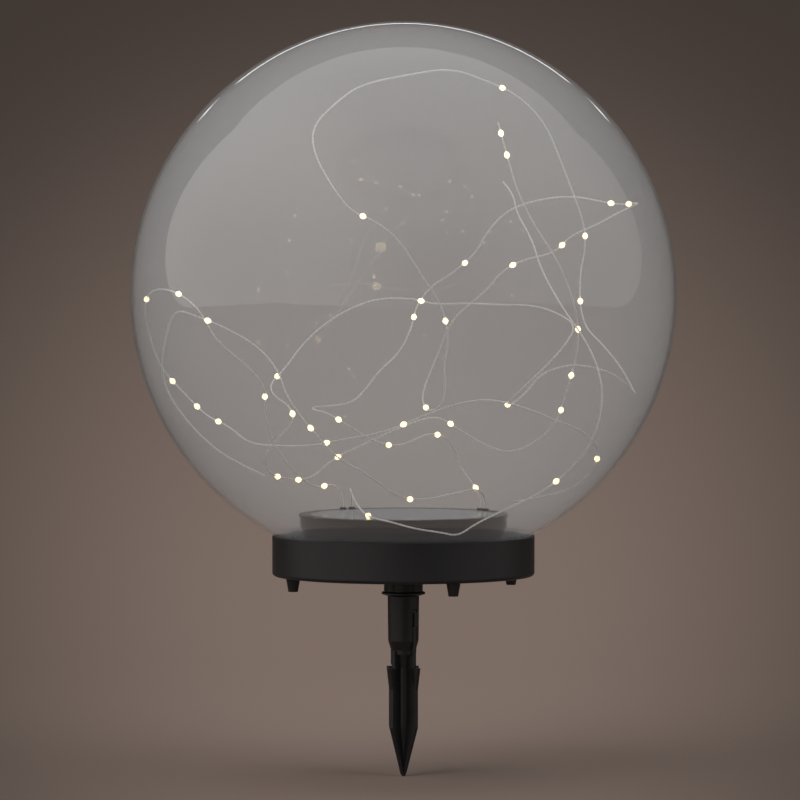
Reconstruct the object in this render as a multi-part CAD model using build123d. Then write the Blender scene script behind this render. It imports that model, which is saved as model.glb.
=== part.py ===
from build123d import *
import math
import os

# Solar garden globe light on a ground spike. Millimetres, +Z up, +Y away from the viewer.
# The origin is on the stake's axis, level with the undersides of the four feet: ground level.

# ---------------------------------------------------------------- driving dimensions
# globe
globe_radius = 150.0
globe_wall = 1.6
neck_inset = 6.2
neck_lug_depth = 1.9
neck_lug_height = 2.4
neck_lug_angle = 12.0
lug_count = 4
lug_first_angle = 69.0
twist_to_open = 20.0

# base housing
foot_height = 7.1
band_radius = 72.2
band_height = 22.0
band_wall = 2.2
band_bottom_round = 1.9
band_top_round = 0.35
globe_seat_gap = 0.35
globe_seat_step = 1.5
neck_gap = 0.4
skirt_wall = 2.0
channel_depth = 13.6
channel_floor = 2.0
channel_reach = 3.5
inner_wall = 2.0
deck_drop = 2.1
deck_thickness = 2.0
deck_hole_radius = 6.0
seal_height = 1.8
seal_gap = 0.3

# turret, lid and panel
turret_gap = 4.9
turret_height = 12.4
turret_wall = 2.0
turret_groove_height = 1.4
turret_groove_depth = 1.7
turret_waist_depth = 1.2
turret_flare = 2.5
shelf_drop = 1.4
shelf_thickness = 2.0
lead_hole_radius = 3.0
turret_screw_inset = 9.0
turret_boss_radius = 3.2
lid_overhang = 0.8
lid_thickness = 1.6
lid_ledge_width = 2.0
lid_ledge_height = 0.5
lid_rim_width = 6.5
cover_gap = 0.2
cover_thickness = 1.05
panel_corner_gap = 2.83095
panel_thickness = 1.6
clip_inset = 3.2
clip_first_angle = 24.0
clip_slot_length = 9.0
clip_slot_width = 2.6
clip_length = 8.0
clip_width = 1.5
clip_recess = 0.5
grommet_radius = 1.9
grommet_height = 1.0
bush_circle_drawn = 54.6

# bottom cover, feet and stake socket
cover_plate_thickness = 2.2
plate_gap = 0.2
foot_inset = 6.5
foot_first_angle = 24.0
foot_top_radius = 3.85
foot_tip_radius = 2.6
foot_counterbore_depth = 4.5
socket_radius = 10.7
socket_drop = 8.6
socket_depth = 19.5
socket_roof = 2.0
socket_groove_count = 6
socket_groove_width = 1.2
socket_groove_depth = 0.5
spigot_radius = 7.2
spigot_gap = 0.08
spigot_length = 17.0

# cell bay
cell_radius = 7.0
cell_length = 49.2
cell_nub_radius = 2.7
cell_nub_length = 1.2
bay_end_gap = 3.4
bay_side_gap = 2.5
bay_gap = 14.3
bay_wall = 1.5
bay_wall_height = 12.5
door_gap = 0.3
door_thickness = 2.0
door_pin_radius = 0.6
door_pin_length = 1.6
door_pin_gap = 0.08
door_grip_length = 14.0
door_grip_width = 2.4
door_rib_width = 0.6
contact_thickness = 0.4
contact_reach = 4.6
contact_tab = 2.2
plate_contact_width = 9.0
leaf_contact_width = 6.0
leaf_drop = 5.5

# circuit board and switch
board_length = 44.0
board_width = 22.0
board_thickness = 1.6
board_gap = 14.3
board_height = 10.0
board_post_radius = 2.6
board_post_spread = 17.0
switch_length = 12.0
switch_width = 6.4
switch_height = 5.5
knob_length = 3.2
knob_width = 2.8
knob_proud = 1.2
knob_flange = 0.8
knob_play = 0.2
switch_travel = 3.0

# screws
screw_radius = 1.25
screw_hole_gap = 0.15
screw_head_radius = 1.85
screw_head_height = 1.6

# stake
collar_radius = 12.0
collar_thickness = 1.7
collar_gap = 0.4
tube_radius = 8.4
tube_wall = 1.9
tube_length = 30.0
tube_end_taper = 4.8
tube_end_radius = 7.0
tube_bore_depth = 25.0
tube_slot_width = 3.4
tube_slot_top = 7.6
shank_gap = 0.15
rail_width = 2.6
rail_angle = -42.0
lug_top = 9.5
lug_height = 7.7
lug_proud = 1.0
spike_collar_gap = 0.4
spike_neck_length = 9.5
spike_flange_radius = 7.0
spike_core_radius = 3.6
blade_radius = 9.8
blade_thickness = 2.2
blade_count = 4
barb_radius = 11.6
barb_length = 12.0
barb_slot_width = 1.3
spike_straight = 33.0
spike_taper = 27.3
spike_tip_radius = 1.1

# leads and lighting wire
lead_radius = 0.6
lead_clearance = 0.9
panel_lead_spread = 1.3
panel_pad_inset = 5.5
cell_lead_bow = 4.1
cell_pad_spread = 20.5
cell_pad_inset = 6.0
wire_diameter = 1.0
wire_sides = 4
bead_length = 3.2
bead_diameter = 2.4
bead_sides = 6

# ---------------------------------------------------------------- derived sizes and levels
neck_radius = band_radius - neck_inset
channel_inner_radius = neck_radius - channel_reach
turret_radius = neck_radius - globe_wall - turret_gap - turret_flare
turret_screw_circle = turret_radius - turret_screw_inset
lid_radius = turret_radius + lid_overhang
clip_circle = lid_radius - clip_inset
cover_radius = lid_radius - lid_rim_width
lid_bore = cover_radius + cover_gap - lid_ledge_width
panel_side = (lid_bore - panel_corner_gap) * math.sqrt(2)
foot_circle = band_radius - foot_inset
bay_length = cell_length + 2 * bay_end_gap
bay_width = 2 * (cell_radius + bay_side_gap)
bay_y = -(socket_radius + bay_gap + bay_wall + bay_width / 2)
board_y = socket_radius + board_gap + board_width / 2
band_bottom_z = foot_height
band_top_z = band_bottom_z + band_height
seat_radius = band_radius - globe_seat_step
globe_z = band_top_z + math.sqrt(globe_radius**2 - seat_radius**2)
skirt_in = neck_radius + neck_gap
skirt_out = skirt_in + skirt_wall
band_in = band_radius - band_wall
seat_reach = globe_radius + globe_seat_gap
seat_edge = math.sqrt(seat_reach**2 - (globe_z - band_top_z) ** 2)
seat_low_z = globe_z - math.sqrt(seat_reach**2 - skirt_in**2)
channel_z = band_top_z - channel_depth
channel_inner_in = channel_inner_radius - inner_wall
deck_z = band_top_z - deck_drop
seal_top_z = channel_z + seal_height
neck_bottom_z = seal_top_z + seal_gap
turret_top_z = deck_z + turret_height
shelf_z = turret_top_z - shelf_drop
lid_top_z = turret_top_z + lid_thickness
ledge_z = turret_top_z + lid_ledge_height
plate_z = foot_height
plate_top_z = plate_z + cover_plate_thickness
socket_bottom_z = plate_z - socket_drop
socket_top_z = socket_bottom_z + socket_depth + socket_roof
collar_top_z = socket_bottom_z - collar_gap
collar_bottom_z = collar_top_z - collar_thickness
tube_bottom_z = collar_bottom_z - tube_length
spike_collar_z = tube_bottom_z - spike_collar_gap
barb_top_z = spike_collar_z - spike_neck_length
spike_shoulder_z = barb_top_z - spike_straight
spike_tip_z = spike_shoulder_z - spike_taper
slot_length = knob_length + switch_travel + 2 * knob_play
slot_width = knob_width + 2 * knob_play
cell_z = plate_top_z + cell_radius + 0.6
board_z = plate_top_z + board_height
hole_radius = screw_radius + screw_hole_gap


# ---------------------------------------------------------------- helpers
def turned(points):
    """A solid of revolution about Z from (radius, height) points."""
    face = make_face(Polyline(*[(r, 0, z) for r, z in points], close=True))
    return revolve(face, Axis.Z)


def ring(r_out, r_in, z_low, z_high):
    """A plain ring about Z."""
    return turned([(r_in, z_low), (r_out, z_low), (r_out, z_high), (r_in, z_high)])


def rod(radius, z_low, z_high, x=0.0, y=0.0):
    """A round rod along Z between two heights."""
    return Pos(x, y, (z_low + z_high) / 2) * Cylinder(radius, z_high - z_low)


def block(size_x, size_y, z_low, z_high, x=0.0, y=0.0):
    """A rectangular block between two heights."""
    return Pos(x, y, (z_low + z_high) / 2) * Box(size_x, size_y, z_high - z_low)


def rim(solid, radius, z):
    """The round edges of a solid at one radius and height."""
    return [
        edge for edge in solid.edges().filter_by(GeomType.CIRCLE)
        if abs(edge.radius - radius) < 0.01 and abs(edge.center().Z - z) < 0.01
    ]


def around(circle, first_angle, count):
    """Places on a circle: angle in degrees, x, y."""
    places = []
    for i in range(count):
        angle = first_angle + i * 360.0 / count
        turn = math.radians(angle)
        places.append((angle, circle * math.cos(turn), circle * math.sin(turn)))
    return places


def sector(r_in, r_out, z_low, z_high, angle, width):
    """A block that follows the circle, as wide in degrees as given, centred on an angle."""
    face = make_face(
        Polyline((r_in, 0, z_low), (r_out, 0, z_low), (r_out, 0, z_high), (r_in, 0, z_high), close=True)
    )
    return Rot(0, 0, angle - width / 2) * revolve(face, Axis.Z, revolution_arc=width)


# ---------------------------------------------------------------- globe
def globe_shell():
    """Blown sphere, open at the bottom, with a neck and bayonet lugs."""
    inner = globe_radius - globe_wall
    neck_in = neck_radius - globe_wall
    low_out = globe_z - math.sqrt(globe_radius**2 - neck_radius**2)
    low_in = globe_z - math.sqrt(inner**2 - neck_in**2)
    outline = [
        ThreePointArc(
            (neck_radius, 0, low_out), (globe_radius, 0, globe_z), (0, 0, globe_z + globe_radius)
        ),
        Line((0, 0, globe_z + globe_radius), (0, 0, globe_z + inner)),
        ThreePointArc((0, 0, globe_z + inner), (inner, 0, globe_z), (neck_in, 0, low_in)),
        Line((neck_in, 0, low_in), (neck_in, 0, neck_bottom_z)),
        Line((neck_in, 0, neck_bottom_z), (neck_radius, 0, neck_bottom_z)),
        Line((neck_radius, 0, neck_bottom_z), (neck_radius, 0, low_out)),
    ]
    shell = revolve(make_face(outline), Axis.Z)
    lug_low = neck_bottom_z + 1.0
    for angle, _, _ in around(neck_radius, lug_first_angle, lug_count):
        shell += sector(
            neck_radius - globe_wall / 2, neck_radius + neck_lug_depth, lug_low,
            lug_low + neck_lug_height, angle, neck_lug_angle,
        )
    return shell


# ---------------------------------------------------------------- base
def base_housing():
    """Band, globe seat, bayonet skirt, seal channel and deck, moulded in one."""
    flange_under = seat_low_z - skirt_wall
    body = turned([
        (band_in, band_bottom_z),
        (band_radius, band_bottom_z),
        (band_radius, band_top_z),
        (seat_edge, band_top_z),
        (skirt_in, seat_low_z),
        (skirt_in, channel_z),
        (channel_inner_radius, channel_z),
        (channel_inner_radius, deck_z),
        (deck_hole_radius, deck_z),
        (deck_hole_radius, deck_z - deck_thickness),
        (channel_inner_in, deck_z - deck_thickness),
        (channel_inner_in, channel_z - channel_floor),
        (skirt_out, channel_z - channel_floor),
        (skirt_out, flange_under),
        (band_in, flange_under),
    ])
    body = fillet(rim(body, band_radius, band_bottom_z), min(band_bottom_round, band_wall - 0.2))
    body = fillet(rim(body, band_radius, band_top_z), min(band_top_round, (band_radius - seat_edge) / 2))
    slot_margin = 3.0
    run_low = neck_bottom_z + 0.6
    run_high = run_low + neck_lug_height + 0.8
    slot_in = skirt_in - 1.0
    for angle, _, _ in around(skirt_in, lug_first_angle, lug_count):
        body -= sector(
            slot_in, skirt_out + 0.3, run_low, run_high,
            angle + twist_to_open / 2, neck_lug_angle + twist_to_open + slot_margin,
        )
        body -= sector(
            slot_in, skirt_out + 0.3, run_low, band_top_z + 1.0,
            angle + twist_to_open, neck_lug_angle + slot_margin,
        )
    for _, x, y in around(foot_circle, foot_first_angle, 4):
        post = rod(foot_tip_radius, plate_top_z, channel_z - channel_floor, x, y)
        body += post
        body -= rod(hole_radius, plate_top_z - 1.0, channel_z - channel_floor + 1.0, x, y)
    for _, x, y in around(turret_screw_circle, foot_first_angle, 4):
        body -= rod(hole_radius, deck_z - deck_thickness - 1.0, deck_z + 1.0, x, y)
    return body


def bottom_cover():
    """Cover plate with the feet, the stake socket, the cell bay and the board posts."""
    plate = rod(band_in - plate_gap, plate_z, plate_top_z)
    plate += rod(socket_radius, socket_bottom_z, socket_top_z)
    bay_top = plate_top_z + bay_wall_height
    plate += block(
        bay_length + 2 * bay_wall, bay_width + 2 * bay_wall, plate_z, bay_top, y=bay_y
    )
    for _, x, y in around(foot_circle, foot_first_angle, 4):
        foot = Pos(x, y, foot_height / 2) * Cone(foot_tip_radius, foot_top_radius, foot_height)
        plate += foot
    for side in (-1, 1):
        plate += rod(board_post_radius, plate_z, board_z, side * board_post_spread, board_y)
    plate -= rod(spigot_radius + spigot_gap, socket_bottom_z - 1.0, socket_bottom_z + socket_depth)
    for _, x, y in around(socket_radius, 0.0, socket_groove_count):
        plate -= rod(
            socket_groove_width / 2, socket_bottom_z - 1.0, plate_z,
            x * (1 + (socket_groove_width / 2 - socket_groove_depth) / socket_radius),
            y * (1 + (socket_groove_width / 2 - socket_groove_depth) / socket_radius),
        )
    plate -= block(bay_length, bay_width, plate_z - 1.0, bay_top + 1.0, y=bay_y)
    hinge_y, hinge_z = door_hinge()
    pin_span = bay_length + 2 * (door_pin_length - door_gap + 0.2)
    plate -= Pos(0, hinge_y, hinge_z) * Rot(0, 90, 0) * Cylinder(
        door_pin_radius + door_pin_gap, pin_span
    )
    for _, x, y in around(foot_circle, foot_first_angle, 4):
        plate -= rod(screw_head_radius + 0.15, -1.0, foot_counterbore_depth, x, y)
        plate -= rod(hole_radius, 0.0, plate_top_z + 1.0, x, y)
    for side in (-1, 1):
        plate -= rod(
            hole_radius, board_z - 6.0, board_z + 1.0, side * board_post_spread, board_y
        )
    plate -= block(slot_length, slot_width, plate_z - 1.0, plate_top_z + 1.0, y=board_y)
    return plate


def door_hinge():
    """The battery door's pin axis: y and z. It runs along X."""
    return bay_y - bay_width / 2 + door_gap + door_thickness / 2, plate_z + door_thickness / 2


def battery_door():
    """Door over the cell bay, with two stub pins on its outer edge and a thumb notch."""
    hinge_y, hinge_z = door_hinge()
    length = bay_length - 2 * door_gap
    far_y = bay_y + bay_width / 2 - door_gap
    door = block(
        length, far_y - hinge_y, plate_z, plate_z + door_thickness, y=(far_y + hinge_y) / 2
    )
    door += Pos(0, hinge_y, hinge_z) * Rot(0, 90, 0) * Cylinder(door_thickness / 2, length)
    door += Pos(0, hinge_y, hinge_z) * Rot(0, 90, 0) * Cylinder(
        door_pin_radius, length + 2 * door_pin_length
    )
    door -= block(
        door_grip_length, door_grip_width, plate_z - 1.0, plate_z + 0.9,
        y=far_y - door_grip_width / 2,
    )
    for i in range(5):
        door -= block(
            door_grip_length, door_rib_width, plate_z - 1.0, plate_z + 0.4,
            y=far_y - door_grip_width - 1.6 - 2 * door_rib_width * i,
        )
    return door


def cell():
    """Rechargeable cell with its positive nub."""
    body = Pos(0, bay_y, cell_z) * Rot(0, 90, 0) * Cylinder(cell_radius, cell_length)
    nub_x = cell_length / 2 + cell_nub_length / 2
    return body + Pos(nub_x, bay_y, cell_z) * Rot(0, 90, 0) * Cylinder(
        cell_nub_radius, cell_nub_length
    )


def plate_contact():
    """Flat contact that the cell's nub touches."""
    x = cell_length / 2 + cell_nub_length + contact_thickness / 2
    low, high = cell_z - contact_reach, cell_z + contact_reach
    contact = block(contact_thickness, plate_contact_width, low, high, x=x, y=bay_y)
    tail = bay_length / 2 - x
    return contact + block(
        tail, plate_contact_width / 3, high - contact_thickness, high, x=x + tail / 2, y=bay_y
    )


def leaf_contact():
    """Bent leaf that presses on the flat end of the cell."""
    tip = -cell_length / 2
    wall = -bay_length / 2
    back = wall + contact_thickness
    bend = 0.6 * leaf_drop
    bow = [
        (wall, cell_z - leaf_drop), (back, cell_z - leaf_drop), (tip, cell_z),
        (back + 2.5 * contact_thickness, cell_z + bend),
        (back + 1.5 * contact_thickness, cell_z + bend + 0.75 * contact_thickness),
        (tip - 1.4 * contact_thickness, cell_z),
        (back, cell_z - leaf_drop + 2.5 * contact_thickness),
        (back, cell_z + contact_reach - contact_thickness),
        (wall + contact_tab, cell_z + contact_reach - contact_thickness),
        (wall + contact_tab, cell_z + contact_reach), (wall, cell_z + contact_reach),
    ]
    edge_y = bay_y - leaf_contact_width / 2
    face = make_face(Polyline(*[(x, edge_y, z) for x, z in bow], close=True))
    return extrude(face, amount=leaf_contact_width, dir=(0, 1, 0))


def circuit_board():
    """Board on two posts, with screw holes."""
    board = block(board_length, board_width, board_z, board_z + board_thickness, y=board_y)
    for side in (-1, 1):
        board -= rod(
            hole_radius, board_z - 1.0, board_z + board_thickness + 1.0,
            side * board_post_spread, board_y,
        )
    return board


def board_parts():
    """Charging chip, choke and capacitor, each a separate solid on the board."""
    top = board_z + board_thickness
    chip = block(6.0, 5.0, top, top + 1.6, x=-6.0, y=board_y - 3.0)
    choke = rod(2.6, top, top + 3.4, 5.0, board_y + 3.0)
    capacitor = rod(2.0, top, top + 3.2, 9.5, board_y - 5.0)
    return Compound([*chip.solids(), *choke.solids(), *capacitor.solids()])


def switch_body():
    """Slide switch on the cover plate, hollow under its top where the slider runs."""
    body = block(switch_length, switch_width, plate_top_z, plate_top_z + switch_height, y=board_y)
    return body - block(
        slot_length, knob_width + 2 * (knob_flange + knob_play), plate_top_z - 1.0,
        plate_top_z + knob_flange + 3 * knob_play, y=board_y,
    )


def switch_slider():
    """Knob that stands out of the cover's slot, at the off end of its travel."""
    start = -switch_travel / 2
    top = plate_top_z + knob_play + knob_flange
    knob = block(knob_length, knob_width, plate_z - knob_proud, top, x=start, y=board_y)
    knob += block(
        knob_length, knob_width + 2 * knob_flange, plate_top_z + knob_play, top,
        x=start, y=board_y,
    )
    for i in (-1, 0, 1):
        knob -= block(
            0.4, knob_width + 1.0, plate_z - knob_proud - 0.1, plate_z - knob_proud + 0.35,
            x=start + i * 0.9, y=board_y,
        )
    return knob


def seal_ring():
    """Soft ring in the housing's channel, under the globe's neck."""
    return ring(skirt_in - seal_gap, channel_inner_radius + seal_gap, channel_z, seal_top_z)


# ---------------------------------------------------------------- turret
def solar_turret():
    """Round turret on the deck: flared foot, waist, bead and a groove under the lid."""
    groove_z = turret_top_z - turret_groove_height
    bead_low = deck_z + turret_height * 0.48
    waist = turret_radius - turret_waist_depth
    inner = turret_radius - turret_wall - turret_groove_depth
    body = turned([
        (inner, deck_z),
        (turret_radius + turret_flare, deck_z),
        (turret_radius + turret_flare, deck_z + 0.8),
        (waist, deck_z + 3.4),
        (waist, bead_low),
        (turret_radius, bead_low + 0.9),
        (turret_radius, groove_z),
        (turret_radius - turret_groove_depth, groove_z),
        (turret_radius - turret_groove_depth, turret_top_z),
        (inner, turret_top_z),
        (inner, shelf_z),
        (lead_hole_radius, shelf_z),
        (lead_hole_radius, shelf_z - shelf_thickness),
        (inner, shelf_z - shelf_thickness),
    ])
    for angle, x, y in around(clip_circle, clip_first_angle, 4):
        clip = block(clip_width, clip_length, groove_z - 1.0, lid_top_z - clip_recess)
        body += Rot(0, 0, angle) * Pos(clip_circle, 0, 0) * clip
    for _, x, y in around(turret_screw_circle, foot_first_angle, 4):
        body += rod(turret_boss_radius, deck_z, shelf_z - shelf_thickness, x, y)
        body -= rod(hole_radius, deck_z - 1.0, shelf_z - shelf_thickness - 0.6, x, y)
    return body


def grommet_places():
    """Where the four lighting wires leave the lid: the first point of each route."""
    return [route[0][:2] for route in wire_routes().values()]


def turret_lid():
    """Thin rim with the cover's recess, the clip slots and the wire holes."""
    recess = cover_radius + cover_gap
    lid = turned([
        (lid_bore, turret_top_z),
        (lid_radius - 0.5, turret_top_z),
        (lid_radius, turret_top_z + 0.5),
        (lid_radius, lid_top_z - 0.5),
        (lid_radius - 0.5, lid_top_z),
        (recess, lid_top_z),
        (recess, ledge_z),
        (lid_bore, ledge_z),
    ])
    for angle, x, y in around(clip_circle, clip_first_angle, 4):
        slot = block(clip_slot_width, clip_slot_length, turret_top_z - 1.0, lid_top_z + 1.0)
        lid -= Rot(0, 0, angle) * Pos(clip_circle, 0, 0) * slot
    for x, y in grommet_places():
        lid -= rod(grommet_radius - 0.5, turret_top_z - 1.0, lid_top_z + 1.0, x, y)
    return lid


def wire_grommets():
    """Soft bushes in the lid, one for each lighting wire."""
    bushes = []
    for x, y in grommet_places():
        bush = rod(grommet_radius - 0.5, turret_top_z, lid_top_z, x, y)
        bush += rod(grommet_radius, lid_top_z, lid_top_z + grommet_height, x, y)
        bushes += bush.solids()
    return Compound(bushes)


def panel_cover():
    """Clear glossy disc in the lid."""
    return rod(cover_radius, ledge_z, ledge_z + cover_thickness)


def solar_panel():
    """Solar panel on the turret's shelf."""
    return block(panel_side, panel_side, shelf_z, shelf_z + panel_thickness)


# ---------------------------------------------------------------- screws
def cover_screws():
    """Screws up inside the four feet."""
    screws = []
    for _, x, y in around(foot_circle, foot_first_angle, 4):
        head_low = foot_counterbore_depth - screw_head_height
        screw = rod(screw_head_radius, head_low, foot_counterbore_depth, x, y)
        screw += rod(screw_radius, foot_counterbore_depth, channel_z - channel_floor, x, y)
        screw -= block(2.6, 0.6, head_low - 0.1, head_low + 0.7, x, y)
        screw -= block(0.6, 2.6, head_low - 0.1, head_low + 0.7, x, y)
        screws += screw.solids()
    return Compound(screws)


def turret_screws():
    """Screws from under the deck into the turret's bosses."""
    screws = []
    for _, x, y in around(turret_screw_circle, foot_first_angle, 4):
        head_top = deck_z - deck_thickness
        screw = rod(screw_head_radius, head_top - screw_head_height, head_top, x, y)
        screw += rod(screw_radius, head_top, shelf_z - shelf_thickness - 1.0, x, y)
        screws += screw.solids()
    return Compound(screws)


def board_screws():
    """Screws that hold the circuit board on its posts."""
    screws = []
    for side in (-1, 1):
        top = board_z + board_thickness
        x = side * board_post_spread
        screw = rod(screw_head_radius, top, top + screw_head_height, x, board_y)
        screw += rod(screw_radius, board_z - 5.0, top, x, board_y)
        screws += screw.solids()
    return Compound(screws)


# ---------------------------------------------------------------- stake
def stake_tube():
    """Upper stake: spigot, collar, tapered tube end, bore and the rail's slot."""
    tube = turned([
        (0, collar_top_z + spigot_length),
        (spigot_radius - 1.0, collar_top_z + spigot_length),
        (spigot_radius, collar_top_z + spigot_length - 1.5),
        (spigot_radius, collar_top_z),
        (collar_radius - 0.4, collar_top_z),
        (collar_radius, collar_top_z - 0.4),
        (collar_radius, collar_bottom_z + 0.5),
        (collar_radius - 1.6, collar_bottom_z),
        (tube_radius + 0.3, collar_bottom_z - 0.7),
        (tube_radius, tube_bottom_z + tube_end_taper),
        (tube_end_radius, tube_bottom_z),
        (0, tube_bottom_z),
    ])
    tube -= rod(tube_radius - tube_wall, tube_bottom_z - 1.0, tube_bottom_z + tube_bore_depth)
    slot_top = collar_bottom_z - tube_slot_top
    slot = block(tube_radius + 3.0, tube_slot_width, tube_bottom_z - 1.0, slot_top,
                 x=(tube_radius + 3.0) / 2)
    return tube - Rot(0, 0, rail_angle) * slot


def blade():
    """One blade of the spike, in the XZ plane: barb, straight edge and taper to the tip."""
    barb_foot = barb_top_z - barb_length
    outline = [
        (0, spike_collar_z), (tube_radius, spike_collar_z),
        (tube_radius, barb_top_z), (barb_radius, barb_top_z),
        (blade_radius, barb_foot), (blade_radius, spike_shoulder_z),
        (spike_tip_radius, spike_tip_z + spike_tip_radius), (0, spike_tip_z),
    ]
    face = make_face(Polyline(*[(x, -blade_thickness / 2, z) for x, z in outline], close=True))
    plate = extrude(face, amount=blade_thickness, dir=(0, 1, 0))
    slit_x = tube_radius + barb_slot_width / 2 - 0.6
    slit = block(
        barb_slot_width, blade_thickness * 3, barb_foot + 2.0, barb_top_z + 1.0, x=slit_x
    )
    return plate - slit


def ground_spike():
    """Cross-section spike: shank in the tube, rail and snap lug in the slot, four blades."""
    shank_radius = tube_radius - tube_wall - shank_gap
    shank_top = tube_bottom_z + tube_bore_depth - 1.0
    spike = rod(shank_radius, spike_collar_z - 2.0, shank_top)
    spike += rod(spike_flange_radius, spike_collar_z - 2.2, spike_collar_z)
    spike += turned([
        (0, spike_collar_z), (spike_core_radius + 1.6, spike_collar_z),
        (spike_core_radius, barb_top_z), (spike_core_radius, spike_shoulder_z),
        (spike_tip_radius * 0.6, spike_tip_z + spike_tip_radius), (0, spike_tip_z),
    ])
    for angle, _, _ in around(1.0, rail_angle, blade_count):
        spike += Rot(0, 0, angle) * blade()
    rail_top = collar_bottom_z - tube_slot_top - 0.5
    rail = block(tube_radius, rail_width, spike_collar_z - 1.0, rail_top, x=tube_radius / 2)
    lug_z = collar_bottom_z - lug_top
    lug = block(
        tube_radius + lug_proud, rail_width, lug_z - lug_height, lug_z,
        x=(tube_radius + lug_proud) / 2,
    )
    return spike + Rot(0, 0, rail_angle) * (rail + lug)


# ---------------------------------------------------------------- wiring
def lead(points, radius):
    """A round insulated lead along points, with the bends as large as the runs allow."""
    return tube_along(points, Circle(radius), 0.0)[0]


def leads():
    """Leads from the panel and from the cell's contacts to the circuit board."""
    board_top = board_z + board_thickness
    over = plate_top_z + bay_wall_height + lead_clearance
    panel_pad_y = board_y - panel_pad_inset
    cell_pad_y = board_y - cell_pad_inset
    runs = []
    for side in (-1, 1):
        x = side * panel_lead_spread
        runs.append([
            (x, 0, shelf_z), (x, 0, deck_z + 5 * lead_radius),
            (x, deck_hole_radius / 2, deck_z - deck_thickness - lead_clearance - 0.5),
            (x, panel_pad_y - 16.5, board_top + 2.3), (x, panel_pad_y, board_top + 2.0),
            (x, panel_pad_y, board_top),
        ])
        tail = bay_length / 2 - contact_tab / 2
        runs.append([
            (side * tail, bay_y, cell_z + contact_reach), (side * tail, bay_y, over + lead_radius),
            (side * (tail + cell_lead_bow), bay_y + 8.0, over),
            (side * (tail + cell_lead_bow - 2.0), bay_y + 32.0, over - 0.4),
            (side * cell_pad_spread, cell_pad_y - 2.0, over),
            (side * cell_pad_spread, cell_pad_y, board_top + 1.6),
            (side * cell_pad_spread, cell_pad_y, board_top),
        ])
    return Compound([solid for run in runs for solid in lead(run, lead_radius).solids()])


def tube_along(points, section, least):
    """A tube of straight runs and tangent arcs; the arcs are as large as their runs allow."""
    corners = [Vector(*p) for p in points]
    runs = [(b - a).length for a, b in zip(corners, corners[1:])]
    radii = []
    for i in range(1, len(corners) - 1):
        turn = (corners[i] - corners[i - 1]).get_angle(corners[i + 1] - corners[i])
        shorter = min(runs[i - 1], runs[i])
        radii.append(0.45 * shorter / math.tan(math.radians(turn) / 2))
        if radii[-1] < least:
            print("  tight bend", i, round(radii[-1], 2))
    path = FilletPolyline(*points, radius=radii)
    start = Plane(origin=path @ 0, z_dir=path % 0)
    return sweep(start * section, path=path), path.length, min(radii)


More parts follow.
